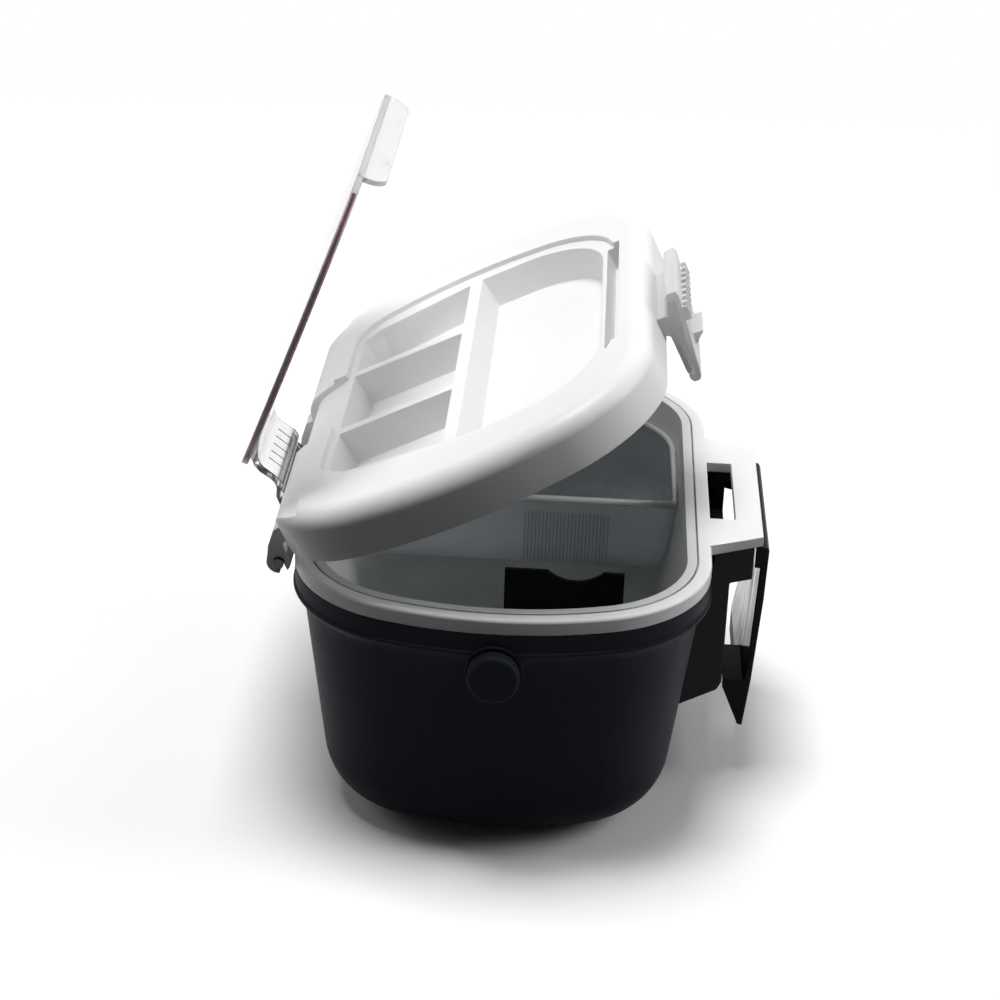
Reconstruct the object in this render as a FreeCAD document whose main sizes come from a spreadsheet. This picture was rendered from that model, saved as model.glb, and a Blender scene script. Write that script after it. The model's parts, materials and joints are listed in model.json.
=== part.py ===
"""Worm bait box: a double-walled tub with a compartment lid, a clear cover and a belt clip.

The frame's origin is the middle of the base, on the floor. +X points to the latch and the belt
clip, -X to the hinge, +Y along the box to its far end, +Z up. Lengths are millimetres. The pieces
of the lid and the cover are drawn closed, then turned open about the hinge rod, as the box stands
in use.
"""
import FreeCAD, Part
import math
import os
import Sketcher

SIZES = {
    "rim_width": 112, "rim_length": 168, "rim_height": 76, "corner_radius": 37, "end_radius": 99.3,
    "rim_face": 4.2, "rim_band": 3.6, "rim_round": 0.9,
    "lip_outer": 4.1, "lip_inner": 6.6, "lip_height": 3,
    "collar_drop": 10.4, "shoulder_drop": 13.8, "wall_step": 2.4, "draft": 0.126, "wall": 2.2,
    "bead": 0.5, "base_radius": 19, "liner_floor": 6.4, "liner_wall": 1.8,
    "shelf_thick": 3, "shelf_reach": 70.5, "shelf_half": 28.4, "shelf_slope": 0.49,
    "slot_inner": 56.1, "slot_outer": 63.2, "slot_half": 18.4,
    "bracket_face": 62, "bracket_top": 70, "web_bottom": 63, "web_thick": 3,
    "clip_root": 68.8, "clip_outer": 72.5, "clip_thick": 2.2, "clip_tip": 15.5,
    "hook_top": 30.2, "hook_reach": 62.6, "hook_length": 21,
    "hinge_x": -60, "hinge_z": 71.5, "rod_radius": 1.5, "rod_play": 0.06, "rod_half": 51,
    "knuckle_radius": 3.3, "hook_mouth": 1.1,
    "lid_gap": 0.2, "lid_inset": 0.9, "lid_height": 14.3, "lid_edge": 5.4, "lid_wall": 2,
    "lid_hollow": 10.5, "lid_setback": 5, "recess_depth": 1.6, "recess_left": -38.7,
    "recess_right": 45.3, "recess_half": 63, "recess_tight": 16, "recess_wide": 29, "recess_bow": 88.8,
    "pocket_depth": 9.4, "pocket_draft": 9, "pocket_left": -36.8, "pocket_right": -2.6,
    "pocket_half": 18.6, "pocket_wall": 3.6, "pocket_corner": 50.3, "pocket_end": 57.2,
    "bay_left": 1.3, "bay_right": 41.2, "bay_end": 57.8, "bay_round": 27,
    "trench_half": 37.6, "trench_drop": 8, "trench_left": 42.6, "trench_right": 46.8,
    "panel_thick": 1.3, "panel_rise": 0.2, "seal_outer": 4.6, "seal_inner": 6.2,
    "cover_thick": 1.8, "cover_play": 0.4, "leaf_half": 17, "leaf_play": 1.2,
    "lip_half": 36.4, "lip_thick": 1.5, "lip_drop": 6, "latch_half": 17.4, "barb_half": 7, "grip_pitch": 4.3,
    "tray_near": 7, "tray_top": 67.4, "tray_bottom": 41.6, "tray_wall": 1.2, "tray_play": 0.5,
    "tray_round": 12.5,
    "plate_left": -1, "plate_right": 34, "plate_place": 3, "plate_top": 46, "plate_thick": 1.6,
    "plate_lift": 1.6, "notch_radius": 12.1, "notch_x": 19.8, "notch_rise": 8.9, "post_height": 12,
    "stud_height": 61, "stud_radius": 6.75, "neck_radius": 6.2, "boss_radius": 7.4,
    "boss_proud": 0.5, "neck_length": 0.8, "stud_length": 3.8,
    "screw_radius": 1.5, "screw_head": 2.7, "head_thick": 1.1, "screw_length": 9,
    "lid_open": 26.5, "cover_open": 42.7,
}
GRIP_RIBS = 9
SCREW_PLACES = [(y, z) for y in (-24, 24) for z in (34, 54)]
NEAR, FAR = -1, 1

doc = FreeCAD.newDocument("WormBaitBox")
sheet = doc.addObject("Spreadsheet::Sheet", "Sizes")
for row, (alias, number) in enumerate(SIZES.items(), start=1):
    sheet.set(f"A{row}", alias)
    sheet.set(f"B{row}", str(number))
    sheet.setAlias(f"B{row}", alias)
doc.recompute()


class Size:
    """A length or ratio: its number, and the sheet expression that gives it."""

    def __init__(self, number, text):
        self.number = number
        self.text = text

    def __add__(self, other):
        other = as_size(other)
        return Size(self.number + other.number, f"({self.text} + {other.text})")

    def __sub__(self, other):
        other = as_size(other)
        return Size(self.number - other.number, f"({self.text} - {other.text})")

    def __mul__(self, other):
        other = as_size(other)
        return Size(self.number * other.number, f"({self.text} * {other.text})")

    def __truediv__(self, other):
        other = as_size(other)
        return Size(self.number / other.number, f"({self.text} / {other.text})")

    def __neg__(self):
        return Size(-self.number, f"(0 - {self.text})")

    def __rsub__(self, other):
        return as_size(other) - self

    __radd__ = __add__
    __rmul__ = __mul__


def as_size(value):
    """Take a plain number as a size."""
    return value if isinstance(value, Size) else Size(float(value), f"({float(value):.6g})")


def dim(alias):
    """A driving dimension from the sheet."""
    return Size(float(SIZES[alias]), f"Sizes.{alias}")


class Piece:
    """One sub-part: a body, with short calls for the features that make it."""

    def __init__(self, label):
        self.body = doc.addObject("PartDesign::Body", label)
        self.body.Label = label
        self.count = 0

    def feature(self, kind):
        self.count += 1
        short = kind.split("::")[1].replace("Object", "").lower()
        return self.body.newObject(kind, f"{self.body.Name}_{short}_{self.count}")

    def sketch(self, role="XY_Plane", at=0):
        """A sketch parallel to an origin plane; at is its height, or its place along Y or X."""
        sketch = self.feature("Sketcher::SketchObject")
        plane = [item for item in self.body.Origin.OriginFeatures if item.Role == role]
        sketch.AttachmentSupport = (plane[0], [""])
        sketch.MapMode = "FlatFace"
        along = -as_size(at) if role == "XZ_Plane" else as_size(at)
        sketch.setExpression("AttachmentOffset.Base.z", along.text)
        return sketch

    def pad(self, sketch, length, back=False):
        """Add material along the sketch's normal: up, towards -Y or towards +X."""
        return self.extrude("PartDesign::Pad", sketch, length, back, 0)

    def pocket(self, sketch, length, back=False, taper=0):
        """Cut away material against the sketch's normal: down, towards +Y or towards -X."""
        return self.extrude("PartDesign::Pocket", sketch, length, back, taper)

    def extrude(self, kind, sketch, length, back, taper):
        feature = self.feature(kind)
        feature.Profile = sketch
        feature.setExpression("Length", as_size(length).text)
        feature.Reversed = back
        if taper:
            feature.setExpression("TaperAngle", as_size(taper).text)
        doc.recompute()
        return feature

    def loft(self, sketches, cut=False):
        """Straight walls from outline to outline, added or cut away."""
        loft = self.feature("PartDesign::SubtractiveLoft" if cut else "PartDesign::AdditiveLoft")
        loft.Profile = sketches[0]
        loft.Sections = sketches[1:]
        loft.Ruled = True
        doc.recompute()
        return loft

    def fillet(self, radius, chosen):
        """Round the edges for which chosen(edge) is true."""
        tip = self.body.Tip
        names = [f"Edge{n}" for n, edge in enumerate(tip.Shape.Edges, start=1) if chosen(edge)]
        fillet = self.feature("PartDesign::Fillet")
        fillet.Base = (tip, names)
        fillet.setExpression("Radius", as_size(radius).text)
        doc.recompute()
        return fillet


def bind(sketch, kind, places, size):
    """Add one driving constraint and bind it to the sheet."""
    index = sketch.addConstraint(Sketcher.Constraint(kind, *places, size.number))
    sketch.setExpression(f"Constraints[{index}]", size.text)


def pin_point(sketch, index, place, point):
    """Fix a point of the sketch by its two distances from the origin."""
    for kind, size in zip(("DistanceX", "DistanceY"), point):
        bind(sketch, kind, (-1, 1, index, place), as_size(size))


def polygon(sketch, points):
    """A closed outline through corner points, each fixed by sheet expressions."""
    first = sketch.GeometryCount
    corners = [FreeCAD.Vector(as_size(x).number, as_size(y).number, 0) for x, y in points]
    count = len(corners)
    for n in range(count):
        sketch.addGeometry(Part.LineSegment(corners[n], corners[(n + 1) % count]), False)
    for n in range(count):
        after = first + (n + 1) % count
        sketch.addConstraint(Sketcher.Constraint("Coincident", first + n, 2, after, 1))
        pin_point(sketch, first + n, 1, points[n])
    return sketch


def rectangle(sketch, left, right, low, high):
    return polygon(sketch, [(left, low), (right, low), (right, high), (left, high)])


def circle(sketch, x, y, radius):
    place = FreeCAD.Vector(as_size(x).number, as_size(y).number, 0)
    radius = as_size(radius)
    index = sketch.addGeometry(Part.Circle(place, FreeCAD.Vector(0, 0, 1), radius.number), False)
    pin_point(sketch, index, 3, (x, y))
    bind(sketch, "Radius", (index,), radius)
    return sketch


def outline(sketch, left, right, length, corners, end, near=None):
    """A plan of straight sides at left and right, corner arcs and bowed ends at plus and minus
    length, each tangent to the next. corners are the left and the right radius. With near set, a
    straight line at that Y takes the near end's place."""
    tight, wide = corners
    middle, end_y = (left + right) / 2, length - end
    heart, deep = middle.number, end_y.number
    pi = math.pi

    def corner(side, radius):
        """The corner arc's middle beyond the heart, and the turn at which the end arc meets it."""
        across = abs(side.number - heart) - radius.number
        rise = math.sqrt((end.number - radius.number) ** 2 - across ** 2)
        return across, deep + rise, math.atan2(rise, across)

    left_x, left_y, left_turn = corner(left, tight)
    right_x, right_y, right_turn = corner(right, wide)
    stop_left, stop_right = (-left_y, -right_y) if near is None else (as_size(near).number,) * 2

    def line(*ends):
        return Part.LineSegment(*[FreeCAD.Vector(x, y, 0) for x, y in ends])

    def arc(x, y, radius, start, stop):
        round_edge = Part.Circle(FreeCAD.Vector(heart + x, y, 0), FreeCAD.Vector(0, 0, 1), radius.number)
        return Part.ArcOfCircle(round_edge, start, stop)

    shapes = [line((right.number, stop_right), (right.number, right_y)),
              arc(right_x, right_y, wide, 0, right_turn),
              arc(0, deep, end, right_turn, pi - left_turn),
              arc(-left_x, left_y, tight, pi - left_turn, pi),
              line((left.number, left_y), (left.number, stop_left))]
    if near is None:
        shapes += [arc(-left_x, -left_y, tight, pi, pi + left_turn),
                   arc(0, -deep, end, pi + left_turn, 2 * pi - right_turn),
                   arc(right_x, -right_y, wide, 2 * pi - right_turn, 2 * pi)]
    else:
        shapes.append(line((left.number, stop_left), (right.number, stop_right)))
    first = sketch.GeometryCount
    for shape in shapes:
        sketch.addGeometry(shape, False)
    for n in range(len(shapes)):
        after = (n + 1) % len(shapes)
        straight = near is not None and 5 in (n, after)
        joint = "Coincident" if straight else "Tangent"
        sketch.addConstraint(Sketcher.Constraint(joint, first + n, 2, first + after, 1))
    rounds = [(1, wide), (3, tight)] + ([] if near is not None else [(5, tight), (7, wide)])
    for n, radius in rounds:
        bind(sketch, "Radius", (first + n,), radius)
    for n, way in ((2, 1),) if near is not None else ((2, 1), (6, -1)):
        bind(sketch, "Radius", (first + n,), end)
        pin_point(sketch, first + n, 3, (middle, end_y * way))
    for n, side in ((0, right), (4, left)):
        sketch.addConstraint(Sketcher.Constraint("Vertical", first + n))
        bind(sketch, "DistanceX", (-1, 1, first + n, 1), side)
    if near is not None:
        sketch.addConstraint(Sketcher.Constraint("Horizontal", first + 5))
        bind(sketch, "DistanceY", (-1, 1, first, 1), as_size(near))
    return sketch


def plan(sketch, inset, near=None, setback=0):
    """The box's plan, inset from the rim's outer edge and set back further on the hinge side."""
    inset = as_size(inset)
    side = dim("rim_width") / 2 - inset
    corner = dim("corner_radius") - inset
    return outline(sketch, -side + setback, side, dim("rim_length") / 2 - inset, (corner, corner),
                   dim("end_radius") - inset, near)


def recess(sketch, play=0):
    """The clear cover's outline on the lid: tight corners by the hinge, wide ones by the latch."""
    play = as_size(play)
    return outline(sketch, dim("recess_left") + play, dim("recess_right") - play,
                   dim("recess_half") - play, (dim("recess_tight") - play, dim("recess_wide") - play),
                   dim("recess_bow") - play)


def level_with(height):
    """Choose the edges that lie at one height."""
    level = as_size(height).number

    def chosen(edge):
        box = edge.BoundBox
        return abs(box.ZMin - level) < 0.01 and abs(box.ZMax - level) < 0.01
    return chosen


HALF_WIDTH = dim("rim_width") / 2
RIM_TOP = dim("rim_height")
RIM_UNDER = RIM_TOP - dim("rim_face")
COLLAR = RIM_TOP - dim("collar_drop")
SHOULDER = RIM_TOP - dim("shoulder_drop")
SHELF_UNDER = RIM_TOP - dim("shelf_thick")
DRAFT = dim("draft")
WALL = dim("wall")
HINGE = (dim("hinge_x"), dim("hinge_z"))
LID_BASE = RIM_TOP + dim("lid_gap")
LID_TOP = LID_BASE + dim("lid_height")
RECESS = LID_TOP - dim("recess_depth")
TRENCH = LID_TOP - dim("trench_drop")
COVER_UNDER = RECESS + 0.1
PANEL = LID_BASE + dim("panel_rise")
BLOCK = PANEL + dim("panel_thick") + 0.1
COVER_TOP = COVER_UNDER + dim("cover_thick")


def wall_inset(height):
    """How far the tub's outer wall stands in from the rim's edge at a height below the shoulder."""
    return dim("wall_step") + (SHOULDER - height) * DRAFT


def liner_inset(height):
    """The same for the liner's inner wall."""
    return dim("lip_inner") + (RIM_TOP - height) * DRAFT


def shelf_plan(sketch, play=0, reach=None, root=52):
    """The shelf's outline: a plain block against the rim with its two ends slanted."""
    reach = dim("shelf_reach") if reach is None else reach
    half = dim("shelf_half") - play
    root_half = half + (dim("shelf_reach") - root) * dim("shelf_slope")
    end_half = half + (dim("shelf_reach") - reach) * dim("shelf_slope")
    return polygon(sketch, [(root, -root_half), (reach, -end_half), (reach, end_half),
                            (root, root_half)])


def knuckle(piece, start, length, arm, bore, radius=None):
    """A round barrel about the hinge rod from y = start on, joined to the piece by an arm."""
    x, z = HINGE
    radius = dim("knuckle_radius") if radius is None else radius
    piece.pad(polygon(piece.sketch("XZ_Plane", start), arm), length, back=True)
    piece.pad(circle(piece.sketch("XZ_Plane", start), x, z, radius), length, back=True)
    piece.pocket(circle(piece.sketch("XZ_Plane", start - 1), x, z, bore), length + 2)


def outer_tub():
    """The dark outer shell: drafted walls, a wide round at the floor and a collar under the rim."""
    tub = Piece("outer_tub")
    step = dim("wall_step")
    outside = [(0, wall_inset(0)), (SHOULDER, step), (COLLAR, 0), (RIM_UNDER, 0)]
    tub.loft([plan(tub.sketch(at=z), inset) for z, inset in outside])
    inside = [(WALL, wall_inset(WALL) + WALL), (SHOULDER, step + WALL), (COLLAR, WALL),
              (RIM_UNDER, WALL)]
    tub.loft([plan(tub.sketch(at=z), inset) for z, inset in inside], cut=True)
    tub.fillet(dim("base_radius") - WALL, level_with(WALL))
    tub.fillet(dim("base_radius"), level_with(0))
    bead = plan(tub.sketch(at=COLLAR), -dim("bead"))
    plan(bead, 1)
    tub.pad(bead, 1)
    boss_face = dim("rim_length") / 2 + dim("boss_proud")
    for end in (NEAR, FAR):
        boss = tub.sketch("XZ_Plane", boss_face * end)
        tub.pad(circle(boss, 0, dim("stud_height"), dim("boss_radius")), 4.3, back=end == NEAR)
        hole = tub.sketch("XZ_Plane", 90 * end)
        circle(hole, 0, dim("stud_height"), dim("screw_radius"))
        tub.pocket(hole, 20, back=end == FAR)
    for y, z in SCREW_PLACES:
        hole = circle(tub.sketch("YZ_Plane", 40), y, z, dim("screw_radius"))
        tub.pocket(hole, 20, back=True)
    return tub


def rim_frame():
    """The white rim on the tub, with the latch shelf on one side and hinge knuckles opposite."""
    rim = Piece("rim_frame")
    rim.pad(plan(rim.sketch(at=RIM_UNDER), 0), dim("rim_face"))
    rim.fillet(dim("rim_round"), level_with(RIM_TOP))
    rim.pad(shelf_plan(rim.sketch(at=SHELF_UNDER)), dim("shelf_thick"))
    x, z = HINGE
    face = 1 - HALF_WIDTH
    arm = [(face, RIM_UNDER), (face, RIM_TOP - 1), (x + 1.5, RIM_TOP - 1.3), (x - 1, z),
           (x + 1.5, z - 2.4), (x + 3.4, RIM_UNDER)]
    for start in (-42.7, 27.3):
        knuckle(rim, start, 15.4, arm, dim("rod_radius"))
    rim.pocket(plan(rim.sketch(at=RIM_TOP + 1), dim("rim_band")), 10)
    flange = plan(rim.sketch(at=RIM_UNDER), 3)
    plan(flange, dim("lip_outer") + 0.9)
    rim.pad(flange, dim("rim_face") - dim("lip_height"))
    slot = rectangle(rim.sketch(at=RIM_TOP + 1), dim("slot_inner"), dim("slot_outer"),
                     -dim("slot_half"), dim("slot_half"))
    rim.pocket(slot, 10)
    return rim


def inner_liner():
    """The pale inner box: its lip lies inside the rim and its walls follow the tub's."""
    liner = Piece("inner_liner")
    under = RIM_TOP - dim("lip_height")
    floor, skin = dim("liner_floor"), dim("liner_wall")
    base = floor - skin
    liner.loft([plan(liner.sketch(at=z), liner_inset(z) - skin) for z in (base, under)])
    liner.pad(plan(liner.sketch(at=under), dim("lip_outer")), dim("lip_height"))
    liner.loft([plan(liner.sketch(at=z), liner_inset(z)) for z in (floor, RIM_TOP)], cut=True)
    liner.fillet(dim("base_radius") - WALL - skin * 2, level_with(floor))
    liner.fillet(dim("base_radius") - WALL - skin, level_with(base))
    place = dim("plate_place")
    for edge, out in ((dim("plate_left"), -1), (dim("plate_right"), 1)):
        post = liner.sketch(at=floor - 0.5)
        left, right = sorted((edge + 3 * out, edge - 1.6 * out), key=lambda size: size.number)
        liner.pad(rectangle(post, left, right, place - 2.6, place + 2.6), dim("post_height"))
        groove = liner.sketch(at=floor + dim("post_height"))
        gap = dim("plate_thick") / 2 + 0.2
        left, right = sorted((edge + 0.3 * out, edge - 2 * out), key=lambda size: size.number)
        liner.pocket(rectangle(groove, left, right, place - gap, place + gap),
                     dim("post_height") - dim("plate_lift"))
    level = dim("tray_bottom") + 1.6
    for side in (-1, 1):
        for y in (26, 46):
            wall = (HALF_WIDTH - liner_inset(level) + 0.8) * side
            left, right = sorted((wall, wall - 6 * side), key=lambda size: size.number)
            liner.pad(rectangle(liner.sketch(at=level - 2), left, right, y - 3, y + 3), 2)
    return liner


def belt_bracket():
    """The black bracket under the shelf: a top plate, a body against the tub and two end webs."""
    bracket = Piece("belt_bracket")
    top, face = dim("bracket_top"), dim("bracket_face")
    play = 0.4
    bracket.pad(shelf_plan(bracket.sketch(at=top), play, dim("clip_root") - 0.5, 57), 3)
    wall = HALF_WIDTH + dim("bead") + 0.2

    def tub_side(z):
        return HALF_WIDTH - wall_inset(as_size(z)) + 0.15

    profile = bracket.sketch("XZ_Plane", -40)
    polygon(profile, [(wall, top), (face, top), (face, 31.5), (face - 1.3, 29.5),
                      (tub_side(27), 27), (tub_side(61.5), 61.5), (wall, 65)])
    bracket.pad(profile, 80, back=True)
    for end in (NEAR, FAR):
        inner, outer = as_size(57), dim("clip_root") - 0.5
        slope = dim("shelf_slope")
        inner_y = dim("shelf_half") - play + (dim("shelf_reach") - inner) * slope
        outer_y = dim("shelf_half") - play + (dim("shelf_reach") - outer) * slope
        thick = dim("web_thick")
        web = bracket.sketch(at=dim("web_bottom"))
        polygon(web, [(inner, inner_y * end), (outer, outer_y * end), (outer, (outer_y - thick) * end),
                      (inner, (inner_y - thick) * end)])
        bracket.pad(web, top - dim("web_bottom"))
        far_x = as_size(44)
        far_y = dim("shelf_half") - play + (dim("shelf_reach") - far_x) * slope
        cut = bracket.sketch(at=75)
        polygon(cut, [(far_x, far_y * end), (outer, outer_y * end), (outer + 4, 50 * end),
                      (far_x, 50 * end)])
        bracket.pocket(cut, 60)
    well = rectangle(bracket.sketch(at=75), 54, 65.8, -dim("slot_half") - 1, dim("slot_half") + 1)
    bracket.pocket(well, 14.5)
    for y, z in SCREW_PLACES:
        hole = circle(bracket.sketch("YZ_Plane", 40), y, z, dim("screw_radius"))
        bracket.pocket(hole, 20, back=True)
    return bracket


def bracket_screws():
    """Four screws from inside the tub's wall into the bracket."""
    screws = Piece("bracket_screws")
    for y, z in SCREW_PLACES:
        seat = HALF_WIDTH - wall_inset(as_size(z)) - WALL - 0.4
        head = circle(screws.sketch("YZ_Plane", seat - dim("head_thick")), y, z, dim("screw_head"))
        screws.pad(head, dim("head_thick"))
        shank = circle(screws.sketch("YZ_Plane", seat), y, z, dim("screw_radius"))
        screws.pad(shank, dim("screw_length"))
    return screws


def belt_clip():
    """The clip's outer plate, sprung at its top, with a hook that closes the belt's way out."""
    clip = Piece("belt_clip")
    root, outer, thick = dim("clip_root"), dim("clip_outer"), dim("clip_thick")
    half = dim("shelf_half") - 0.4
    tip, hook = dim("clip_tip"), dim("hook_top")
    profile = clip.sketch("XZ_Plane", -half)
    polygon(profile, [(root, 66), (root, 72.4), (outer - 0.6, 72.4), (outer, 71.4),
                      (outer - 0.4, 56), (outer - 2, 30), (outer - 3.4, tip), (outer - 5, tip + 0.4),
                      (outer - 5, 24), (outer - thick - 1.3, 34), (outer - thick - 0.4, 56),
                      (outer - thick, 66)])
    clip.pad(profile, half * 2, back=True)
    catch = clip.sketch("XZ_Plane", -half)
    reach = dim("hook_reach")
    polygon(catch, [(reach, hook), (outer - 3, hook), (outer - 4, tip + 1), (outer - 5, tip + 0.9),
                    (reach, hook - 2.4)])
    clip.pad(catch, dim("hook_length"), back=True)
    return clip


def strap_stud(label, end):
    """A round stud on an end wall, for a strap's eyelet, held by a screw from inside."""
    stud = Piece(label)
    face = (dim("rim_length") / 2 + dim("boss_proud")) * end
    height = dim("stud_height")
    neck = circle(stud.sketch("XZ_Plane", face), 0, height, dim("neck_radius"))
    stud.pad(neck, dim("neck_length"), back=end == FAR)
    head = circle(stud.sketch("XZ_Plane", face + dim("neck_length") * end), 0, height,
                  dim("stud_radius"))
    stud.pad(head, dim("stud_length"), back=end == FAR)
    front = (face + (dim("neck_length") + dim("stud_length")) * end).number

    def front_edge(edge):
        return abs(edge.BoundBox.YMin - front) < 0.01 and abs(edge.BoundBox.YMax - front) < 0.01
    stud.fillet(1.3, front_edge)
    hole = circle(stud.sketch("XZ_Plane", face), 0, height, dim("screw_radius"))
    stud.pocket(hole, 3, back=end == NEAR)
    return stud


def stud_screws():
    """The two screws that hold the studs, their heads between tub and liner."""
    screws = Piece("stud_screws")
    height = dim("stud_height")
    wall = dim("rim_length") / 2 - wall_inset(height) - WALL - 0.4
    face = dim("rim_length") / 2 + dim("boss_proud")
    for end in (NEAR, FAR):
        head = screws.sketch("XZ_Plane", (wall - dim("head_thick")) * end)
        screws.pad(circle(head, 0, height, dim("screw_head")), dim("head_thick"), back=end == FAR)
        shank = screws.sketch("XZ_Plane", wall * end)
        screws.pad(circle(shank, 0, height, dim("screw_radius")), face - wall + 3, back=end == FAR)
    return screws


def hinge_rod():
    """The rod through all knuckles: rim, lid and clear cover turn on it."""
    rod = Piece("hinge_rod")
    half = dim("rod_half")
    rod.pad(circle(rod.sketch("XZ_Plane", -half), *HINGE, dim("rod_radius")), half * 2, back=True)
    return rod


def small_pockets(grow=0):
    """Outlines of the lid's three small pockets, from the far one to the near one."""
    left, right = dim("pocket_left") - grow, dim("pocket_right") + grow
    half = dim("pocket_half") + grow
    start = dim("pocket_half") + dim("pocket_wall") - grow
    corner, end = dim("pocket_corner") + grow, dim("pocket_end") + grow
    far = [(left, start), (right, start), (right, end), (left + 5, corner), (left, corner - 4.3)]
    middle = [(left, -half), (right, -half), (right, half), (left, half)]
    near = [(x, -y) for x, y in far]
    return [far, middle, near]


def bay(sketch, grow=0):
    """The long bay on the latch side: square at the divider, widely rounded on the other side."""
    left, right = dim("bay_left") - grow, dim("bay_right") + grow
    end, radius = dim("bay_end") + grow, dim("bay_round")
    x, y = (right - radius).number, (end - radius).number
    stop_x, stop_y, away = right.number, end.number, left.number

    def line(*ends):
        return Part.LineSegment(*[FreeCAD.Vector(*end) for end in ends])

    def arc(middle, start):
        round_edge = Part.Circle(FreeCAD.Vector(*middle), FreeCAD.Vector(0, 0, 1), radius.number)
        return Part.ArcOfCircle(round_edge, start, start + math.pi / 2)

    for shape in (line((away, -stop_y), (x, -stop_y)), arc((x, -y), -math.pi / 2),
                  line((stop_x, -y), (stop_x, y)), arc((x, y), 0),
                  line((x, stop_y), (away, stop_y)), line((away, stop_y), (away, -stop_y))):
        sketch.addGeometry(shape, False)
    for n in range(4):
        sketch.addConstraint(Sketcher.Constraint("Tangent", n, 2, n + 1, 1))
    for n in (4, 5):
        sketch.addConstraint(Sketcher.Constraint("Coincident", n, 2, (n + 1) % 6, 1))
    for n in (1, 3):
        bind(sketch, "Radius", (n,), radius)
    pin_point(sketch, 0, 1, (left, -end))
    pin_point(sketch, 4, 2, (left, end))
    sketch.addConstraint(Sketcher.Constraint("Horizontal", 0))
    sketch.addConstraint(Sketcher.Constraint("Horizontal", 4))
    bind(sketch, "DistanceX", (-1, 1, 2, 1), right)
    return sketch


def lid_shell():
    """The white lid: a rounded slab with a recess for the clear cover, pockets and hinge hooks."""
    lid = Piece("lid_shell")
    lid.pad(plan(lid.sketch(at=LID_BASE), dim("lid_inset")), dim("lid_height"))
    lid.fillet(dim("lid_edge"), level_with(LID_TOP))
    lid.pocket(recess(lid.sketch(at=LID_TOP + 1)), dim("recess_depth") + 1)
    inset = dim("lid_inset") + dim("lid_wall")
    lid.pocket(plan(lid.sketch(at=LID_BASE), inset), 4, back=True)
    lid.pocket(plan(lid.sketch(at=LID_BASE), inset, setback=dim("lid_setback")), dim("lid_hollow"),
               back=True)
    deck = LID_BASE + dim("lid_hollow") + 0.5
    skin = 1.6
    for pocket in small_pockets(skin):
        lid.pad(polygon(lid.sketch(at=BLOCK), pocket), deck - BLOCK)
    lid.pad(bay(lid.sketch(at=BLOCK), skin), deck - BLOCK)
    left, right, half = dim("trench_left"), dim("trench_right"), dim("trench_half")
    under = TRENCH - 2
    lid.pad(rectangle(lid.sketch(at=under), left - skin, right + skin, -half - skin, half + skin),
            deck - under)
    notch = dim("leaf_half") + dim("leaf_play")
    lid.pad(rectangle(lid.sketch(at=BLOCK), -54, -42, -notch - skin, notch + skin), deck - BLOCK)
    lid.pocket(rectangle(lid.sketch(at=LID_TOP + 1), left, right, -half, half), dim("trench_drop") + 1)
    shoulder = polygon(lid.sketch("XZ_Plane", -90),
                       [(-42.4, 92), (-43.3, 89.3), (-48.5, 88.2), (-51.2, 87.2), (-53.2, 85),
                        (-54.1, 82.6), (-54.5, 79.5), (-55.6, 76), (-58, 76), (-58, 92)])
    lid.pocket(shoulder, 180)
    cut = polygon(lid.sketch("XZ_Plane", -notch),
                  [(-38.4, RECESS), (-43.2, 87.7), (-46.7, 86.9), (-49, 86), (-50.3, 84.9),
                   (-51.1, 83.5), (-51.8, 80.7), (-52.3, 77.6), (-52.6, 75), (-66, 75), (-66, 95),
                   (-38.4, 95)])
    lid.pocket(cut, notch * 2)
    for pocket in small_pockets():
        lid.pocket(polygon(lid.sketch(at=RECESS), pocket), dim("pocket_depth"),
                   taper=-dim("pocket_draft"))
    lid.pocket(bay(lid.sketch(at=RECESS)), dim("pocket_depth"), taper=-dim("pocket_draft"))
    x, z = HINGE
    arm = [(-53.4, 81), (-53.4, LID_BASE), (-56.2, LID_BASE), (-56.8, 73), (x, z), (-62.6, 73.5),
           (-60.4, 77), (-57, 80.6)]
    mouth = dim("hook_mouth")
    for start in (-50, -27, 20, 43):
        knuckle(lid, start, 7, arm, dim("rod_radius") + dim("rod_play"))
        opening = rectangle(lid.sketch("XZ_Plane", start - 1), x - mouth, x + mouth, z - 5, z)
        lid.pocket(opening, 9)
    return lid


def lid_inner_panel():
    """The flat panel that closes the lid from below, with a groove for the seal."""
    panel = Piece("lid_inner_panel")
    panel.pad(plan(panel.sketch(at=PANEL), dim("lid_inset") + dim("lid_wall") + 0.3),
              dim("panel_thick"))
    groove = plan(panel.sketch(at=PANEL), dim("seal_outer") - 0.1)
    plan(groove, dim("seal_inner") + 0.1)
    panel.pocket(groove, 0.6, back=True)
    return panel


def lid_gasket():
    """The soft ring in the panel's groove, over the liner's lip."""
    ring = Piece("lid_gasket")
    outline = plan(ring.sketch(at=RIM_TOP + 0.05), dim("seal_outer"))
    plan(outline, dim("seal_inner"))
    ring.pad(outline, PANEL + 0.6 - RIM_TOP - 0.05)
    return ring


def latch_leg():
    """The latch's fixed leg: a plate hanging from a block on the lid's side."""
    leg = Piece("latch_leg")
    half = dim("latch_half")
    side = HALF_WIDTH - dim("lid_inset")
    profile = [(56.8, 65.8), (58.3, 65.8), (58.3, 82.8), (57.7, 83.4), (side, 83.4), (side, 78.4),
               (56.8, 77.4)]
    leg.pad(polygon(leg.sketch("XZ_Plane", -half), profile), half * 2, back=True)
    return leg


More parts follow.
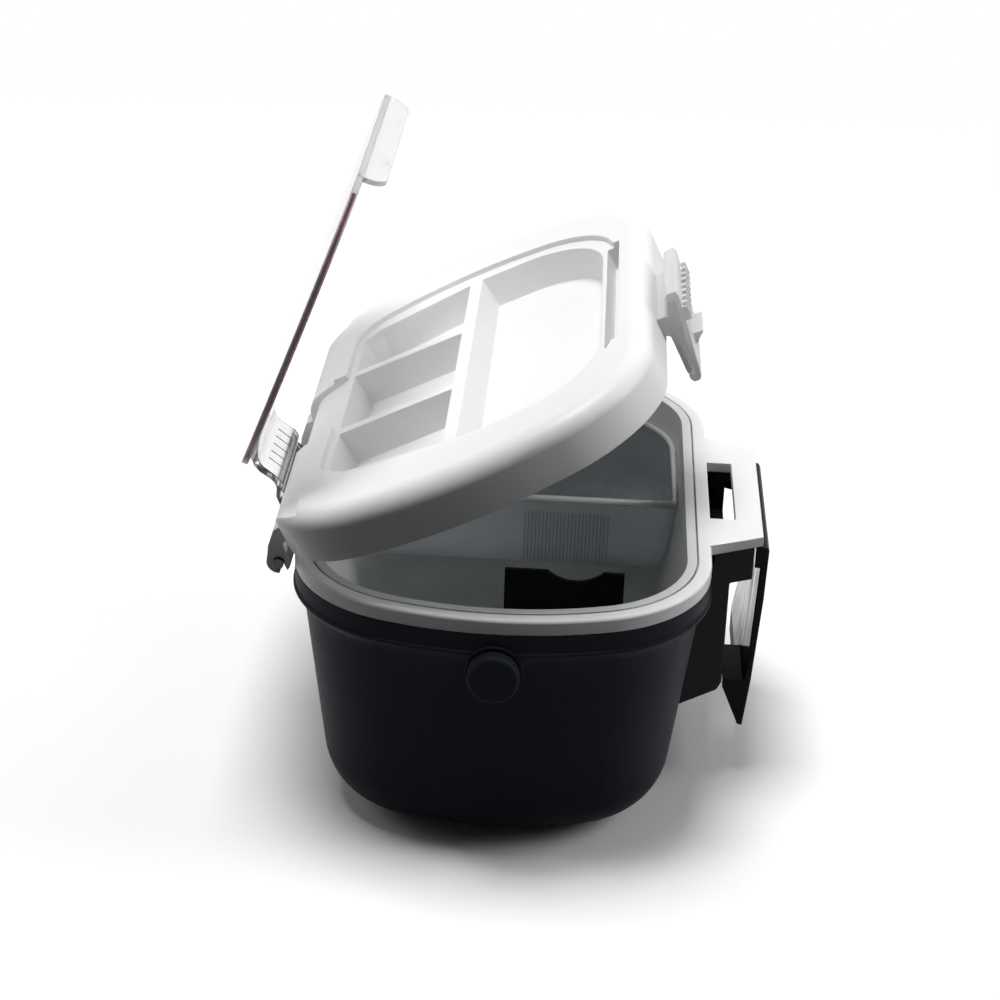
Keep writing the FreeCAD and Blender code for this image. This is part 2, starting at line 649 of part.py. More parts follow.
def latch_tongue():
    """The latch's springy leg: up from the bend, with a barb, thumb ribs and a rounded bead."""
    tongue = Piece("latch_tongue")
    half = dim("latch_half")
    profile = [(56.9, 65.5), (56.9, 63.8), (57.7, 62.8), (59.2, 62.8), (60, 63.8), (63.3, 87.6),
               (62.9, 89), (60.4, 89), (59.4, 88.2), (60.2, 87), (61.7, 86.4), (58.6, 64.5),
               (58.2, 65.5)]
    tongue.pad(polygon(tongue.sketch("XZ_Plane", -half), profile), half * 2, back=True)
    half = dim("barb_half")
    barb = [(60.6, 72.3), (64.1, 72.1), (64, 71.4), (60.7, 68.8)]
    tongue.pad(polygon(tongue.sketch("XZ_Plane", -half), barb), half * 2, back=True)
    grip = tongue.sketch(at=80)
    for n in range(GRIP_RIBS):
        y = dim("grip_pitch") * (n - (GRIP_RIBS - 1) / 2)
        wide = 0.4 if n in (0, GRIP_RIBS - 1) else 0.8
        y = y * (0.985 if wide < 0.5 else 1)
        rectangle(grip, 61.2, 64.2, y - wide, y + wide)
    tongue.pad(grip, 4)
    return tongue


def clear_cover():
    """The clear cover: a thin panel in the lid's recess, a hinge leaf and a hanging pull lip."""
    cover = Piece("clear_cover")
    cover.pad(recess(cover.sketch(at=COVER_UNDER), dim("cover_play")), dim("cover_thick"))
    right = dim("recess_right") - dim("cover_play")
    inner = right - dim("lip_thick")
    half = dim("lip_half")
    low = COVER_UNDER - dim("lip_drop")
    lip = [(inner, COVER_UNDER), (inner, low), (right, low), (right, COVER_TOP - 0.6),
           (right - 0.6, COVER_TOP), (inner, COVER_TOP)]
    cover.pad(polygon(cover.sketch("XZ_Plane", -half), lip), half * 2, back=True)
    half = dim("leaf_half")
    x, z = HINGE
    leaf = [(-36, COVER_UNDER), (-38.6, COVER_UNDER), (-43.2, 88.1), (-46.7, 87.3), (-49.3, 86.4),
            (-50.7, 85.2), (-51.5, 83.7), (-52.3, 80.8), (-53.2, 78.2), (-54.5, 76.8),
            (-56.4, 76.5), (-57.6, 73), (x, z), (-62.6, 73.2), (-60.8, 75.6), (-58.6, 77.6),
            (-56.3, 78.3), (-55, 79.4), (-54.2, 81),
            (-53.4, 84.4), (-52.3, 86.5), (-50.5, 88.1), (-47, 89.3), (-43.5, 90.1),
            (-39, COVER_TOP), (-36, COVER_TOP)]
    knuckle(cover, -half, half * 2, leaf, dim("rod_radius") + dim("rod_play"), 3.2)
    return cover


def bait_tray():
    """The clear lift-out tray in the far half, standing on the liner's pegs."""
    tray = Piece("bait_tray")
    near, skin, play = dim("tray_near"), dim("tray_wall"), dim("tray_play")
    low, high = dim("tray_bottom"), dim("tray_top")
    tray.loft([plan(tray.sketch(at=z), liner_inset(z) + play, near=near) for z in (low, high)])
    tray.loft([plan(tray.sketch(at=z), liner_inset(z) + play + skin, near=near + skin)
               for z in (low + skin, high + 0.01)], cut=True)
    tray.fillet(dim("tray_round") - skin, level_with(low + skin))
    tray.fillet(dim("tray_round"), level_with(low))
    return tray


def divider_plate():
    """The black lift-out plate in two slotted posts, with a shallow round notch in its top edge."""
    plate = Piece("divider_plate")
    left, right = dim("plate_left"), dim("plate_right")
    low, high = dim("liner_floor") + dim("plate_lift"), dim("plate_top")
    place, half = dim("plate_place"), dim("plate_thick") / 2
    outline = rectangle(plate.sketch("XZ_Plane", place - half), left, right, low, high)
    plate.pad(outline, dim("plate_thick"), back=True)
    notch = circle(plate.sketch("XZ_Plane", place - 5), dim("notch_x"), high + dim("notch_rise"),
                   dim("notch_radius"))
    plate.pocket(notch, 10)
    return plate


def turn_open(piece, angle):
    """Turn a piece about the hinge rod by an angle in degrees, upwards on the latch side."""
    x, z = HINGE
    axle = FreeCAD.Vector(x.number, 0, z.number)
    turn = FreeCAD.Rotation(FreeCAD.Vector(0, -1, 0), angle)
    piece.body.Placement = FreeCAD.Placement(FreeCAD.Vector(0, 0, 0), turn, axle)


fixed = [outer_tub(), rim_frame(), inner_liner(), belt_bracket(), bracket_screws(), belt_clip(),
         strap_stud("strap_stud_near", NEAR), strap_stud("strap_stud_far", FAR), stud_screws(),
         hinge_rod(), bait_tray(), divider_plate()]
on_lid = [lid_shell(), lid_inner_panel(), lid_gasket(), latch_leg(), latch_tongue()]
cover = clear_cover()
for piece in on_lid:
    turn_open(piece, SIZES["lid_open"])
turn_open(cover, SIZES["lid_open"] + SIZES["cover_open"])
doc.recompute()

for item in doc.Objects:
    if "Invalid" in item.State or "Error" in item.State:
        raise RuntimeError(f"{item.Name} did not rebuild: {item.State}")
for piece in fixed + on_lid + [cover]:
    shape = piece.body.Shape
    if shape.isNull() or not shape.isValid():
        raise RuntimeError(f"{piece.body.Label} has no valid shape")
os.makedirs("parts", exist_ok=True)
for piece in fixed + on_lid + [cover]:
    piece.body.Shape.exportStep(f"parts/{piece.body.Label}.step")
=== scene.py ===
"""Looks of the worm bait box: materials, rounded pieces, small moulded detail, light and camera.

Lengths are metres in the part's own frame: +X to the latch, +Y to the far end, +Z up, the middle of
the base at the origin. The lid and the cover are worked on as if closed, then turned open.
"""
import json
import math

import bmesh
import bpy
from mathutils import Matrix, Vector


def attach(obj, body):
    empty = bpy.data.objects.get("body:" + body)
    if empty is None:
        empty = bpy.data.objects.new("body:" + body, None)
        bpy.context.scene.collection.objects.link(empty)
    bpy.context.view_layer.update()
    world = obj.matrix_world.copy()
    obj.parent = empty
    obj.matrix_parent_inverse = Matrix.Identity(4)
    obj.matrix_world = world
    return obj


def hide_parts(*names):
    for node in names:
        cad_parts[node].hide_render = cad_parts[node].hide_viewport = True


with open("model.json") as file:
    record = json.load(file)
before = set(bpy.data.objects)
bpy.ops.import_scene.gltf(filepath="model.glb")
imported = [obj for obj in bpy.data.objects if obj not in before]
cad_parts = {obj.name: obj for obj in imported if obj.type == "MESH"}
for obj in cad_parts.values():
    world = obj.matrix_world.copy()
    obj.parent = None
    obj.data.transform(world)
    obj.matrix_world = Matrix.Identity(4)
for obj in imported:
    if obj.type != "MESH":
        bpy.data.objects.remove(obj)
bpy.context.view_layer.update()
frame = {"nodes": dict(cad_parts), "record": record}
MM = 0.001
HINGE = Vector((-60, 0, 71.5)) * MM
LID_OPEN = 26.5
COVER_OPEN = 69.2


class Value:
    """A number or colour inside a node tree, with Python's arithmetic adding Math nodes."""

    def __init__(self, tree, socket):
        self.tree = tree
        self.socket = socket

    def math(self, operation, *others, clamp=False):
        node = self.tree.nodes.new("ShaderNodeMath")
        node.operation = operation
        node.use_clamp = clamp
        for place, value in enumerate((self,) + others):
            plug(self.tree, value, node.inputs[place])
        return Value(self.tree, node.outputs[0])

    def __add__(self, other):
        return self.math("ADD", other)

    def __mul__(self, other):
        return self.math("MULTIPLY", other)

    def __sub__(self, other):
        return self.math("SUBTRACT", other)

    def __rsub__(self, other):
        return self.math("MULTIPLY", -1).math("ADD", other)

    def __pow__(self, other):
        return self.math("POWER", other)

    def clamped(self):
        return self.math("ADD", 0, clamp=True)

    __radd__ = __add__
    __rmul__ = __mul__


def plug(tree, value, socket):
    """Link a value to a socket, or write a plain number or colour on it."""
    if isinstance(value, Value):
        tree.links.new(value.socket, socket)
    else:
        socket.default_value = value


class Nodes:
    """A node tree in the making: add() makes any node and gives one of its outputs."""

    def __init__(self, tree):
        self.tree = tree
        tree.nodes.clear()

    def add(self, kind, settings=None, out=0, **inputs):
        node = self.tree.nodes.new(kind)
        for key, setting in (settings or {}).items():
            setattr(node, key, setting)
        for key, value in inputs.items():
            plug(self.tree, value, node.inputs[key.replace("_", " ")])
        return Value(self.tree, node.outputs[out])

    def ramp(self, value, stops):
        """Map a value through stops: pairs of place and grey level or colour."""
        node = self.tree.nodes.new("ShaderNodeValToRGB")
        while len(node.color_ramp.elements) < len(stops):
            node.color_ramp.elements.new(0.5)
        for element, (place, level) in zip(node.color_ramp.elements, stops):
            element.position = place
            element.color = (level, level, level, 1) if isinstance(level, (int, float)) else (*level, 1)
        plug(self.tree, value, node.inputs["Fac"])
        return Value(self.tree, node.outputs["Color"])

    def mix(self, factor, first, second):
        node = self.tree.nodes.new("ShaderNodeMix")
        node.data_type = "RGBA"
        plug(self.tree, factor, node.inputs["Factor"])
        for value, socket in ((first, node.inputs[6]), (second, node.inputs[7])):
            plug(self.tree, (*value, 1) if isinstance(value, tuple) else value, socket)
        return Value(self.tree, node.outputs[2])


class Finish(Nodes):
    """A material in the making, on Object coordinates."""

    def __init__(self, name):
        self.material = bpy.data.materials.new(name)
        self.material.use_nodes = True
        super().__init__(self.material.node_tree)
        self.place = self.add("ShaderNodeTexCoord", out="Object")

    def noise(self, scale, detail=3.0, roughness=0.5, stretch=(1, 1, 1)):
        place = self.place
        if stretch != (1, 1, 1):
            place = self.add("ShaderNodeMapping", Vector=self.place, Scale=stretch)
        return self.add("ShaderNodeTexNoise", Vector=place, Scale=scale, Detail=detail,
                        Roughness=roughness)

    def bump(self, height, strength, distance):
        return self.add("ShaderNodeBump", Height=height, Strength=strength, Distance=distance)

    def surface(self, color, roughness, normal=None, **fixed):
        node = self.tree.nodes.new("ShaderNodeBsdfPrincipled")
        plug(self.tree, (*color, 1) if isinstance(color, tuple) else color, node.inputs["Base Color"])
        plug(self.tree, roughness, node.inputs["Roughness"])
        if normal is not None:
            plug(self.tree, normal, node.inputs["Normal"])
        for key, value in fixed.items():
            node.inputs[key.replace("_", " ")].default_value = value
        out = self.tree.nodes.new("ShaderNodeOutputMaterial")
        self.tree.links.new(node.outputs[0], out.inputs["Surface"])
        return self.material


def moulded(name, color, dark, rough, grain=900, depth=0.00004, scuff=0.25, **fixed):
    """Moulded plastic: a fine spark-eroded grain, slow colour drift, faint scuffs and handling."""
    finish = Finish(name)
    drift = finish.noise(18, detail=4)
    fine = finish.noise(grain, detail=2, roughness=0.6)
    streaks = finish.noise(60, detail=5, roughness=0.65, stretch=(1, 1, 0.18))
    marks = finish.ramp(streaks, [(0.58, 0.0), (0.74, 1.0)])
    shade = finish.mix(finish.ramp(drift, [(0.3, 0.0), (0.7, 1.0)]), dark, color)
    rub = (marks * scuff).clamped()
    lighter = tuple(min(1, c * 1.25 + 0.01) for c in color)
    shade = finish.mix(rub * 0.5, shade, lighter)
    normal = finish.bump(fine, 0.35, depth)
    return finish.surface(shade, (fine - 0.5) * 0.12 + rub * 0.14 + rough, normal, **fixed)


def clear(name, color, rough, haze=0.0, **fixed):
    """Clear plastic, with faint flow marks in its roughness."""
    finish = Finish(name)
    flow = finish.noise(40, detail=4, stretch=(1, 1, 0.3))
    fine = finish.noise(700, detail=2)
    level = finish.ramp(flow, [(0.35, 0.0), (0.75, 1.0)])
    return finish.surface(color, level * haze + rough, finish.bump(fine, 0.1, 0.00002), **fixed)


NAVY = moulded("navy_shell_moulded", (0.012, 0.014, 0.020), (0.009, 0.0105, 0.0155), 0.5, scuff=0.2,
               Specular_IOR_Level=0.05)
WHITE = moulded("white_shell_moulded", (0.82, 0.825, 0.83), (0.79, 0.795, 0.80), 0.36, grain=1100,
                depth=0.00002, scuff=0.1, Specular_IOR_Level=0.28)
LINER = moulded("grey_liner_moulded", (0.68, 0.69, 0.68), (0.64, 0.65, 0.645), 0.4, grain=1000,
                depth=0.00002, scuff=0.2)
BLACK = moulded("black_plastic_moulded", (0.012, 0.0122, 0.013), (0.009, 0.0092, 0.010), 0.38, scuff=0.2,
                Specular_IOR_Level=0.06)


def polished():
    """The clip's inner side: black and shiny, with fine upright streaks."""
    finish = Finish("black_plastic_polished")
    streaks = finish.noise(420, detail=3, stretch=(1, 1, 0.01))
    rough = finish.ramp(streaks, [(0.4, 0.06), (0.6, 0.22)])
    return finish.surface((0.014, 0.014, 0.015), rough, finish.bump(streaks, 0.5, 0.00008))


GLOSS = polished()
RUBBER = moulded("seal_rubber_moulded", (0.06, 0.06, 0.065), (0.05, 0.05, 0.055), 0.6)
STEEL = moulded("steel_brushed", (0.55, 0.55, 0.56), (0.5, 0.5, 0.51), 0.3, Metallic=1.0)
ROD = moulded("steel_blackened", (0.05, 0.05, 0.052), (0.04, 0.04, 0.042), 0.34, Metallic=1.0)
TRAY = clear("clear_tray_plastic", (0.82, 0.86, 0.88), 0.28, haze=0.15, Transmission_Weight=0.78, IOR=1.4)
COVER = clear("clear_cover_plastic", (0.93, 0.92, 0.92), 0.04, haze=0.06, Transmission_Weight=1.0,
              IOR=1.45)
LIP = clear("clear_cover_lip", (0.90, 0.90, 0.905), 0.15, haze=0.1, Transmission_Weight=0.6, IOR=1.45)
LINES = clear("clear_cover_lines", (0.10, 0.09, 0.09), 0.3, Transmission_Weight=0.2, IOR=1.45)
RIBS = clear("clear_tray_ribs", (0.48, 0.50, 0.53), 0.3, Transmission_Weight=0.6, IOR=1.4)
# Painted highlight: the brim is lighter and less clear than the tray, as a bright line along the tray's
# top edge.
BRIM_PAINTED_HIGHLIGHT = clear("clear_tray_brim_painted_highlight", (0.90, 0.90, 0.87), 0.2, haze=0.1, Transmission_Weight=0.4, IOR=1.4)
LATCH = clear("latch_moulded", (0.86, 0.865, 0.87), 0.35, haze=0.1, Transmission_Weight=0.5, IOR=1.4)

FINISH_OF = {
    "outer_tub": NAVY, "rim_frame": WHITE, "inner_liner": LINER, "belt_bracket": BLACK,
    "bracket_screws": STEEL, "belt_clip": BLACK, "strap_stud_near": NAVY, "strap_stud_far": NAVY,
    "stud_screws": STEEL, "hinge_rod": ROD, "bait_tray": TRAY, "divider_plate": BLACK,
    "lid_shell": WHITE, "lid_inner_panel": WHITE, "lid_gasket": RUBBER, "latch_leg": LATCH,
    "latch_tongue": LATCH, "clear_cover": COVER,
}
for node, material in FINISH_OF.items():
    mesh = frame["nodes"][node].data
    mesh.materials.clear()
    mesh.materials.append(material)

BODY_OF = {node: body for body, nodes in frame["record"]["behaviour"]["bodies"].items() for node in nodes}


def opened(angle):
    """The turn about the hinge that takes a closed piece to its place in use."""
    turn = Matrix.Rotation(math.radians(angle), 4, Vector((0, -1, 0)))
    return Matrix.Translation(HINGE) @ turn @ Matrix.Translation(-HINGE)


def sheet_edge():
    """The cover's cut edge: dark red-brown where the eye looks along the sheet, with a pale pink painted
    highlight along its borders.
    """
    finish = Finish("clear_cover_edge")
    angle = math.radians(COVER_OPEN)
    shut = finish.add("ShaderNodeMapping", Vector=finish.place, Rotation=(0, angle, 0))
    height = finish.add("ShaderNodeSeparateXYZ", out="Z", Vector=shut)
    turned = Matrix.Rotation(angle, 4, "Y") @ HINGE
    middle = 0.0899 - HINGE.z + turned.z
    away = ((height - middle) * (1 / 0.0009)).math("ABSOLUTE")
    # Painted highlight: the pale pink band along the top and bottom borders of the cut edge.
    highlight_border = finish.ramp(away, [(0.35, 0.0), (0.85, 1.0)])
    drift = finish.ramp(finish.noise(30, detail=3), [(0.35, 0.0), (0.7, 1.0)])
    core = finish.mix(drift, (0.045, 0.016, 0.019), (0.10, 0.04, 0.045))
    return finish.surface(finish.mix(highlight_border, core, (0.72, 0.55, 0.57)), 0.25, Transmission_Weight=0.3,
                          IOR=1.45)


COVER_EDGE = sheet_edge()


def smooth_mesh(name, mesh, material):
    """An object of the mesh, smooth with its flat faces kept flat, as a plain mesh again."""
    mesh.shade_smooth()
    mesh.materials.clear()
    mesh.materials.append(material)
    piece = bpy.data.objects.new(name, mesh)
    bpy.context.scene.collection.objects.link(piece)
    weighted = piece.modifiers.new("flat_faces", "WEIGHTED_NORMAL")
    weighted.keep_sharp = True
    return plain(piece)


def plain(piece):
    """Turn the evaluated piece into a plain mesh without modifiers."""
    graph = bpy.context.evaluated_depsgraph_get()
    graph.update()
    mesh = bpy.data.meshes.new_from_object(piece.evaluated_get(graph))
    mesh.name = piece.name
    piece.modifiers.clear()
    piece.data = mesh
    return piece


def round_edges(work, chosen, radius, segments):
    """Round the edges of a mesh for which chosen(start, end, angle in degrees) is true."""
    picked = []
    for edge in work.edges:
        if not edge.is_manifold:
            continue
        turn = math.degrees(edge.calc_face_angle(0))
        ends = [vert.co / MM for vert in edge.verts]
        if chosen(*ends, turn):
            picked.append(edge)
    bmesh.ops.bevel(work, geom=picked, offset=radius * MM, segments=segments, profile=0.5,
                    affect="EDGES", clamp_overlap=False, miter_outer="ARC")
    return len(picked)


def dressed(node, width=0.3, segments=2, angle=34, closed=0, rounds=(), pierced=False):
    """A node's mesh again, merged, with the edges rounded as moulding leaves them. The rounds are
    made first, each with its own choice, radius and segments, on the piece as it is closed. A
    pierced piece has flat faces with holes, so its triangles stay."""
    work = bmesh.new()
    work.from_mesh(frame["nodes"][node].data)
    bmesh.ops.remove_doubles(work, verts=work.verts, dist=0.000002)
    if not pierced:
        bmesh.ops.dissolve_limit(work, angle_limit=math.radians(0.6), verts=work.verts,
                                 edges=work.edges, delimit={"NORMAL"})
    if closed:
        bmesh.ops.transform(work, matrix=opened(-closed), verts=work.verts)
    limits = [(min(side), max(side)) for side in zip(*(vert.co for vert in work.verts))]
    for chosen, radius, steps in rounds:
        round_edges(work, chosen, radius, steps)
    round_edges(work, lambda start, end, turn: turn > angle, width, segments)
    for vert in work.verts:
        vert.co = [min(max(value, low), high) for value, (low, high) in zip(vert.co, limits)]
    if closed:
        bmesh.ops.transform(work, matrix=opened(closed), verts=work.verts)
    mesh = bpy.data.meshes.new(f"{node}_rounded")
    work.to_mesh(mesh)
    work.free()
    piece = smooth_mesh(f"{node}_rounded", mesh, FINISH_OF[node])
    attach(piece, BODY_OF[node])
    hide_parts(node)
    return piece


def block(low, high, width=0.15):
    """A small rounded block between two corners in millimetres, as a bmesh."""
    work = bmesh.new()
    bmesh.ops.create_cube(work, size=1)
    middle = (Vector(low) + Vector(high)) / 2 * MM
    size = (Vector(high) - Vector(low)) * MM
    for vert in work.verts:
        vert.co = Vector(a * b for a, b in zip(vert.co, size)) + middle
    bmesh.ops.bevel(work, geom=work.edges, offset=width * MM, segments=2, profile=0.5, affect="EDGES")
    return work


def lean(work, slope, level):
    """Lean a small shape: its x and y change with its height above a level in millimetres."""
    for vert in work.verts:
        rise = vert.co.z - level * MM
        vert.co.x += rise * slope[0]
        vert.co.y += rise * slope[1]


def repeated(name, work, count, step, material, body, closed=0):
    """A row of one small shape: a node tree repeats it along a step, then it becomes plain mesh."""
    mesh = bpy.data.meshes.new(name)
    work.to_mesh(mesh)
    work.free()
    piece = bpy.data.objects.new(name, mesh)
    bpy.context.scene.collection.objects.link(piece)
    tree = bpy.data.node_groups.new(name, "GeometryNodeTree")
    face = tree.interface
    face.new_socket("Shape", in_out="INPUT", socket_type="NodeSocketGeometry")
    number = face.new_socket("Count", in_out="INPUT", socket_type="NodeSocketInt")
    offset = face.new_socket("Step", in_out="INPUT", socket_type="NodeSocketVector")
    face.new_socket("Row", in_out="OUTPUT", socket_type="NodeSocketGeometry")
    nodes = Nodes(tree)
    given = tree.nodes.new("NodeGroupInput")
    shape, amount, stride = (Value(tree, given.outputs[key]) for key in ("Shape", "Count", "Step"))
    line = nodes.add("GeometryNodeMeshLine", {"mode": "OFFSET"}, Count=amount, Offset=stride)
    copies = nodes.add("GeometryNodeInstanceOnPoints", Points=line, Instance=shape)
    whole = nodes.add("GeometryNodeRealizeInstances", Geometry=copies)
    smooth = nodes.add("GeometryNodeSetShadeSmooth", Geometry=whole)
    finished = nodes.add("GeometryNodeSetMaterial", Geometry=smooth, Material=material)
    result = tree.nodes.new("NodeGroupOutput")
    plug(tree, finished, result.inputs["Row"])
    modifier = piece.modifiers.new("row", "NODES")
    modifier.node_group = tree
    modifier[number.identifier] = count
    modifier[offset.identifier] = tuple(value * MM for value in step)
    plain(piece)
    if closed:
        piece.data.transform(opened(closed))
    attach(piece, body)
    return piece


def along(path, name, radius, material, body, sides=10):
    """A bead that follows a closed path of points in metres: a node tree sweeps a circle on it."""
    mesh = bpy.data.meshes.new(name)
    count = len(path)
    mesh.from_pydata(path, [(n, (n + 1) % count) for n in range(count)], [])
    piece = bpy.data.objects.new(name, mesh)
    bpy.context.scene.collection.objects.link(piece)
    tree = bpy.data.node_groups.new(name, "GeometryNodeTree")
    face = tree.interface
    face.new_socket("Path", in_out="INPUT", socket_type="NodeSocketGeometry")
    size = face.new_socket("Radius", in_out="INPUT", socket_type="NodeSocketFloat")
    face.new_socket("Bead", in_out="OUTPUT", socket_type="NodeSocketGeometry")
    nodes = Nodes(tree)
    given = tree.nodes.new("NodeGroupInput")
    line = nodes.add("GeometryNodeMeshToCurve", Mesh=Value(tree, given.outputs["Path"]))
    ring = nodes.add("GeometryNodeCurvePrimitiveCircle", Resolution=sides,
                     Radius=Value(tree, given.outputs["Radius"]))
    tube = nodes.add("GeometryNodeCurveToMesh", Curve=line, Profile_Curve=ring)
    smooth = nodes.add("GeometryNodeSetShadeSmooth", Geometry=tube)
    whole = nodes.add("GeometryNodeRealizeInstances", Geometry=smooth)
    finished = nodes.add("GeometryNodeSetMaterial", Geometry=whole, Material=material)
    result = tree.nodes.new("NodeGroupOutput")
    plug(tree, finished, result.inputs["Bead"])
    modifier = piece.modifiers.new("bead", "NODES")
    modifier.node_group = tree
    modifier[size.identifier] = radius * MM
    plain(piece)
    work = bmesh.new()
    work.from_mesh(piece.data)
    bmesh.ops.recalc_face_normals(work, faces=work.faces)
    work.to_mesh(piece.data)
    work.free()
    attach(piece, body)
    return piece


def tub_pieces():
    """The fixed pieces: tub, rim, bracket and studs; the liner keeps its mesh as it is."""
    dressed("outer_tub", 0.25, pierced=True)
    dressed("rim_frame", 0.25, pierced=True)
    dressed("belt_bracket", 0.35, pierced=True)
    for node in ("strap_stud_near", "strap_stud_far"):
        dressed(node, 0.2)


def clip_piece():
    """The clip, with its inner side polished where the belt slides."""
    piece = dressed("belt_clip", 0.4, 3)
    piece.data.materials.append(GLOSS)
    for face in piece.data.polygons:
        if face.normal.x < -0.9 and face.center.z > 0.026:
            face.material_index = 1


def lid_pieces():
    """The lid and the latch."""
    dressed("lid_shell", 0.25, closed=LID_OPEN, pierced=True)
    dressed("latch_leg", 0.25, closed=LID_OPEN)
    dressed("latch_tongue", 0.18, closed=LID_OPEN, pierced=True)


def cover_pieces():
    """The clear cover: rounded lip, darker edges with a painted highlight at their borders, ribs on its
    leaf and snap beads on its lip.
    """

    def lip_corner(start, end, turn):
        low = max(start.z, end.z) < 84.7
        return low and abs(abs(start.y) - 36.4) < 0.05 and abs(start.y - end.y) < 0.01 and turn > 60

    piece = dressed("clear_cover", 0.25, closed=COVER_OPEN, rounds=[(lip_corner, 5.6, 8)])
    piece.data.materials.append(COVER_EDGE)
    piece.data.materials.append(LIP)
    flat = opened(COVER_OPEN).to_3x3() @ Vector((0, 0, 1))
    back = opened(-COVER_OPEN)
    for face in piece.data.polygons:
        place = back @ face.center / MM
        cut = abs(face.normal.dot(flat)) < 0.5 and place.z > 88.9
        if cut and place.x < 42.5:
            face.material_index = 1
        elif cut or place.x > 43.3 and place.z < 89.6:
            face.material_index = 2
    rib = block((-53.3, -9.9, 78.6), (-52.9, -9.65, 83.4), 0.08)
    lean(rib, (0.309, 0), 78.6)
    repeated("cover_leaf_ribs", rib, 5, (0, 4.9, 0), LINES, "cover",
             closed=COVER_OPEN)
    bead = block((43.0, -18.6, 84.0), (44.2, -15.4, 85.0), 0.3)
    repeated("cover_snap_beads", bead, 2, (0, 34, 0), COVER, "cover", closed=COVER_OPEN)


def tray_pieces():
    """The tray, its rolled brim and the fine ribs on its near wall; the divider plate."""
    dressed("bait_tray", 0.3)
    tray = frame["nodes"]["bait_tray"].data
    top = max(vert.co.z for vert in tray.vertices)
    middle = Vector((0, 34, 0)) * MM
    ring = {}
    for vert in tray.vertices:
        if top - vert.co.z < 0.00002:
            away = vert.co - middle
            bearing = round(math.atan2(away.y, away.x), 3)
            if bearing not in ring or away.xy.length > ring[bearing][0]:
                ring[bearing] = (away.xy.length, vert.co.copy())
    outer = [ring[key][1] for key in sorted(ring)]
    reach = [(point - middle).xy.length for point in outer]
    path = []
    for n, point in enumerate(outer):
        if reach[n] + 0.0004 < max(reach[n - 1], reach[(n + 1) % len(reach)]) - 0.0004:
            continue
        inward = (middle - point).xy.normalized() * 0.0006
        path.append(Vector((point.x + inward.x, point.y + inward.y, top - 0.0004)))
    along(path, "tray_brim", 1.0, BRIM_PAINTED_HIGHLIGHT, "tray")
    rib = block((4, 6.7, 47), (4.35, 7.2, 63), 0.08)
    repeated("tray_near_ribs", rib, 24, (1.05, 0, 0), RIBS, "tray")
    dressed("divider_plate", 0.3)


def light(name, place, size, energy, target=(0, 0, 0.06), tint=(1, 1, 1)):
    lamp = bpy.data.lights.new(name, "AREA")
    lamp.shape = "RECTANGLE"
    lamp.size, lamp.size_y = size
    lamp.energy = energy
    lamp.color = tint
    holder = bpy.data.objects.new(name, lamp)
    bpy.context.scene.collection.objects.link(holder)
    holder.location = place
    holder.rotation_euler = (Vector(target) - Vector(place)).to_track_quat("-Z", "Y").to_euler()
    return holder


def seen_directly(nodes):
    """1 for rays from the camera, a reflection or glass, 0 for light that bounces."""
    rays = nodes.add("ShaderNodeLightPath", out="Is Camera Ray")
    paths = rays.socket.node.outputs
    for kind in ("Is Glossy Ray", "Is Transmission Ray"):
        rays = rays.math("MAXIMUM", Value(nodes.tree, paths[kind]))
    return rays


def mixed(nodes, factor, first, second):
    """Two shaders mixed by a factor."""
    blend = nodes.add("ShaderNodeMixShader", Fac=factor)
    for value, socket in ((first, 1), (second, 2)):
        nodes.tree.links.new(value.socket, blend.socket.node.inputs[socket])
    return blend


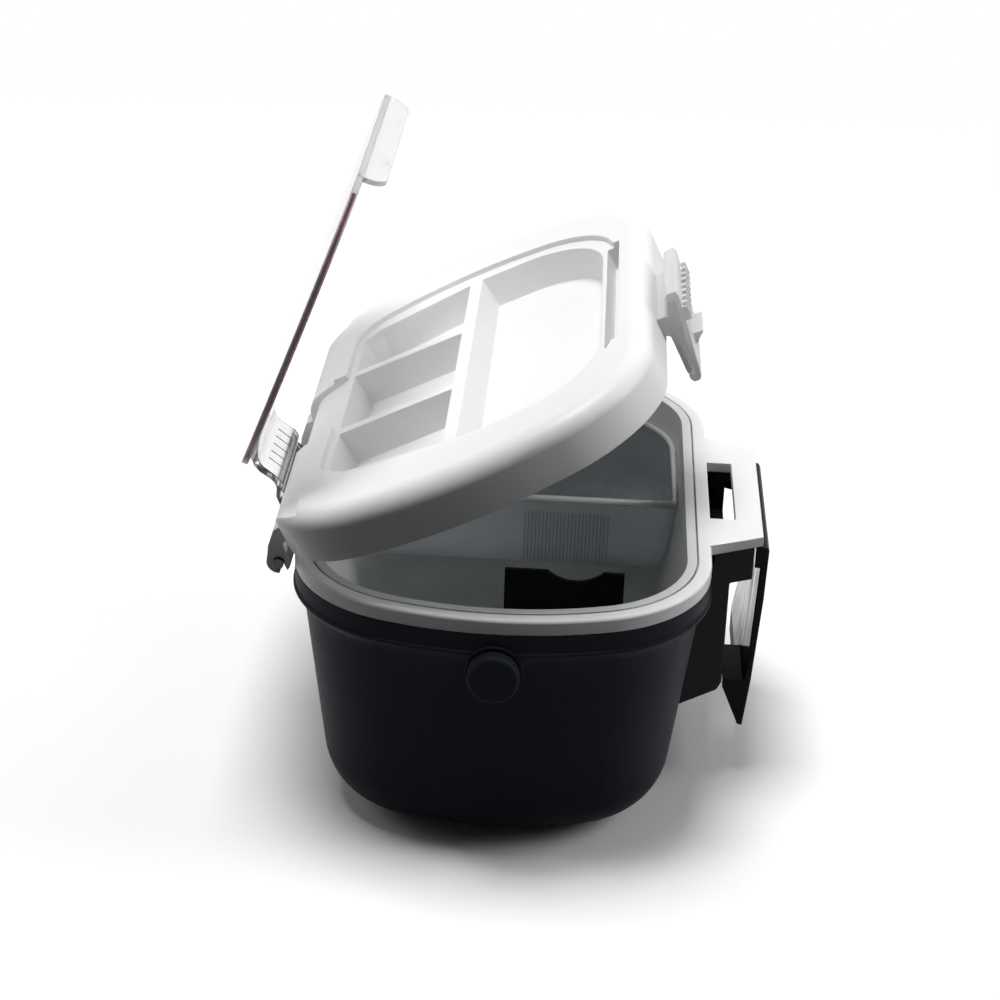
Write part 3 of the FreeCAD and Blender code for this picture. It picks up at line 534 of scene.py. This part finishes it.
def studio():
    """A white sweep that shows as white behind the object, soft lamps above and behind it."""
    sweep = bpy.data.meshes.new("sweep")
    edge = 3.0
    under = -0.0002
    points = [(-edge, -edge, under), (edge, -edge, under), (edge, edge, under), (-edge, edge, under)]
    sweep.from_pydata(points, [], [(0, 1, 2, 3)])
    floor = bpy.data.objects.new("sweep", sweep)
    bpy.context.scene.collection.objects.link(floor)
    finish = Finish("sweep_white")
    bright = finish.add("ShaderNodeBsdfDiffuse", Color=(0.98, 0.98, 0.98, 1))
    dim = finish.add("ShaderNodeBsdfDiffuse", Color=(0.04, 0.04, 0.04, 1))
    white = finish.add("ShaderNodeEmission", Color=(1, 1, 1, 1), Strength=1.0)
    reach = finish.add("ShaderNodeVectorMath", {"operation": "LENGTH"}, out="Value", Vector=finish.place)
    apart = finish.ramp(reach * 0.5, [(0.16, 0.0), (0.4, 1.0)])
    near = mixed(finish, apart, bright, white)
    shown = mixed(finish, seen_directly(finish), dim, near)
    out = finish.tree.nodes.new("ShaderNodeOutputMaterial")
    finish.tree.links.new(shown.socket, out.inputs["Surface"])
    sweep.materials.append(finish.material)

    world = bpy.data.worlds.new("white_room")
    bpy.context.scene.world = world
    world.use_nodes = True
    nodes = Nodes(world.node_tree)
    way = nodes.add("ShaderNodeTexCoord", out="Generated")
    parts = nodes.add("ShaderNodeSeparateXYZ", Vector=way).socket.node.outputs
    side, back, up = (Value(world.node_tree, socket) for socket in parts)
    behind = (back + 0.5).clamped()
    beside = side.math("ABSOLUTE") * 0.16 + side.math("MAXIMUM", 0) * 0.06
    soft = behind * (beside + back.math("MAXIMUM", 0) * 0.28 + up.math("MAXIMUM", 0) * 0.22) + 0.008
    shown = seen_directly(nodes)
    level = shown + soft * (1 - shown)
    backdrop = nodes.add("ShaderNodeBackground", Color=(1, 1, 1, 1), Strength=level)
    out = world.node_tree.nodes.new("ShaderNodeOutputWorld")
    world.node_tree.links.new(backdrop.socket, out.inputs["Surface"])
    light("lamp_top", (-0.25, 0.04, 2.0), (0.75, 0.75), 32)
    light("lamp_right", (1.2, 0.1, 0.7), (0.6, 0.8), 8)
    light("lamp_left", (-1.2, 0.4, 0.6), (0.6, 0.8), 2.5)


def camera():
    """The photograph's own camera, from a fit to the outline points."""
    azimuth, elevation, roll = math.radians(2.11), math.radians(25.85), math.radians(2.06)
    forward = Vector((-math.sin(azimuth) * math.cos(elevation),
                      math.cos(azimuth) * math.cos(elevation), -math.sin(elevation)))
    level = Vector((math.cos(azimuth), math.sin(azimuth), 0))
    upright = level.cross(forward)
    right = level * math.cos(roll) + upright * math.sin(roll)
    up = -level * math.sin(roll) + upright * math.cos(roll)
    lens = bpy.data.cameras.new("camera")
    lens.sensor_width = 36
    lens.lens = 2356 * 36 / 1000
    lens.clip_start = 0.01
    holder = bpy.data.objects.new("camera", lens)
    bpy.context.scene.collection.objects.link(holder)
    turn = Matrix((right, up, -forward)).transposed().to_4x4()
    holder.matrix_world = Matrix.Translation(Vector((19.3, -607.3, 363.7)) * MM) @ turn
    bpy.context.scene.camera = holder


tub_pieces()
clip_piece()
lid_pieces()
cover_pieces()
tray_pieces()
studio()
camera()
bpy.context.scene.view_settings.view_transform = "Standard"
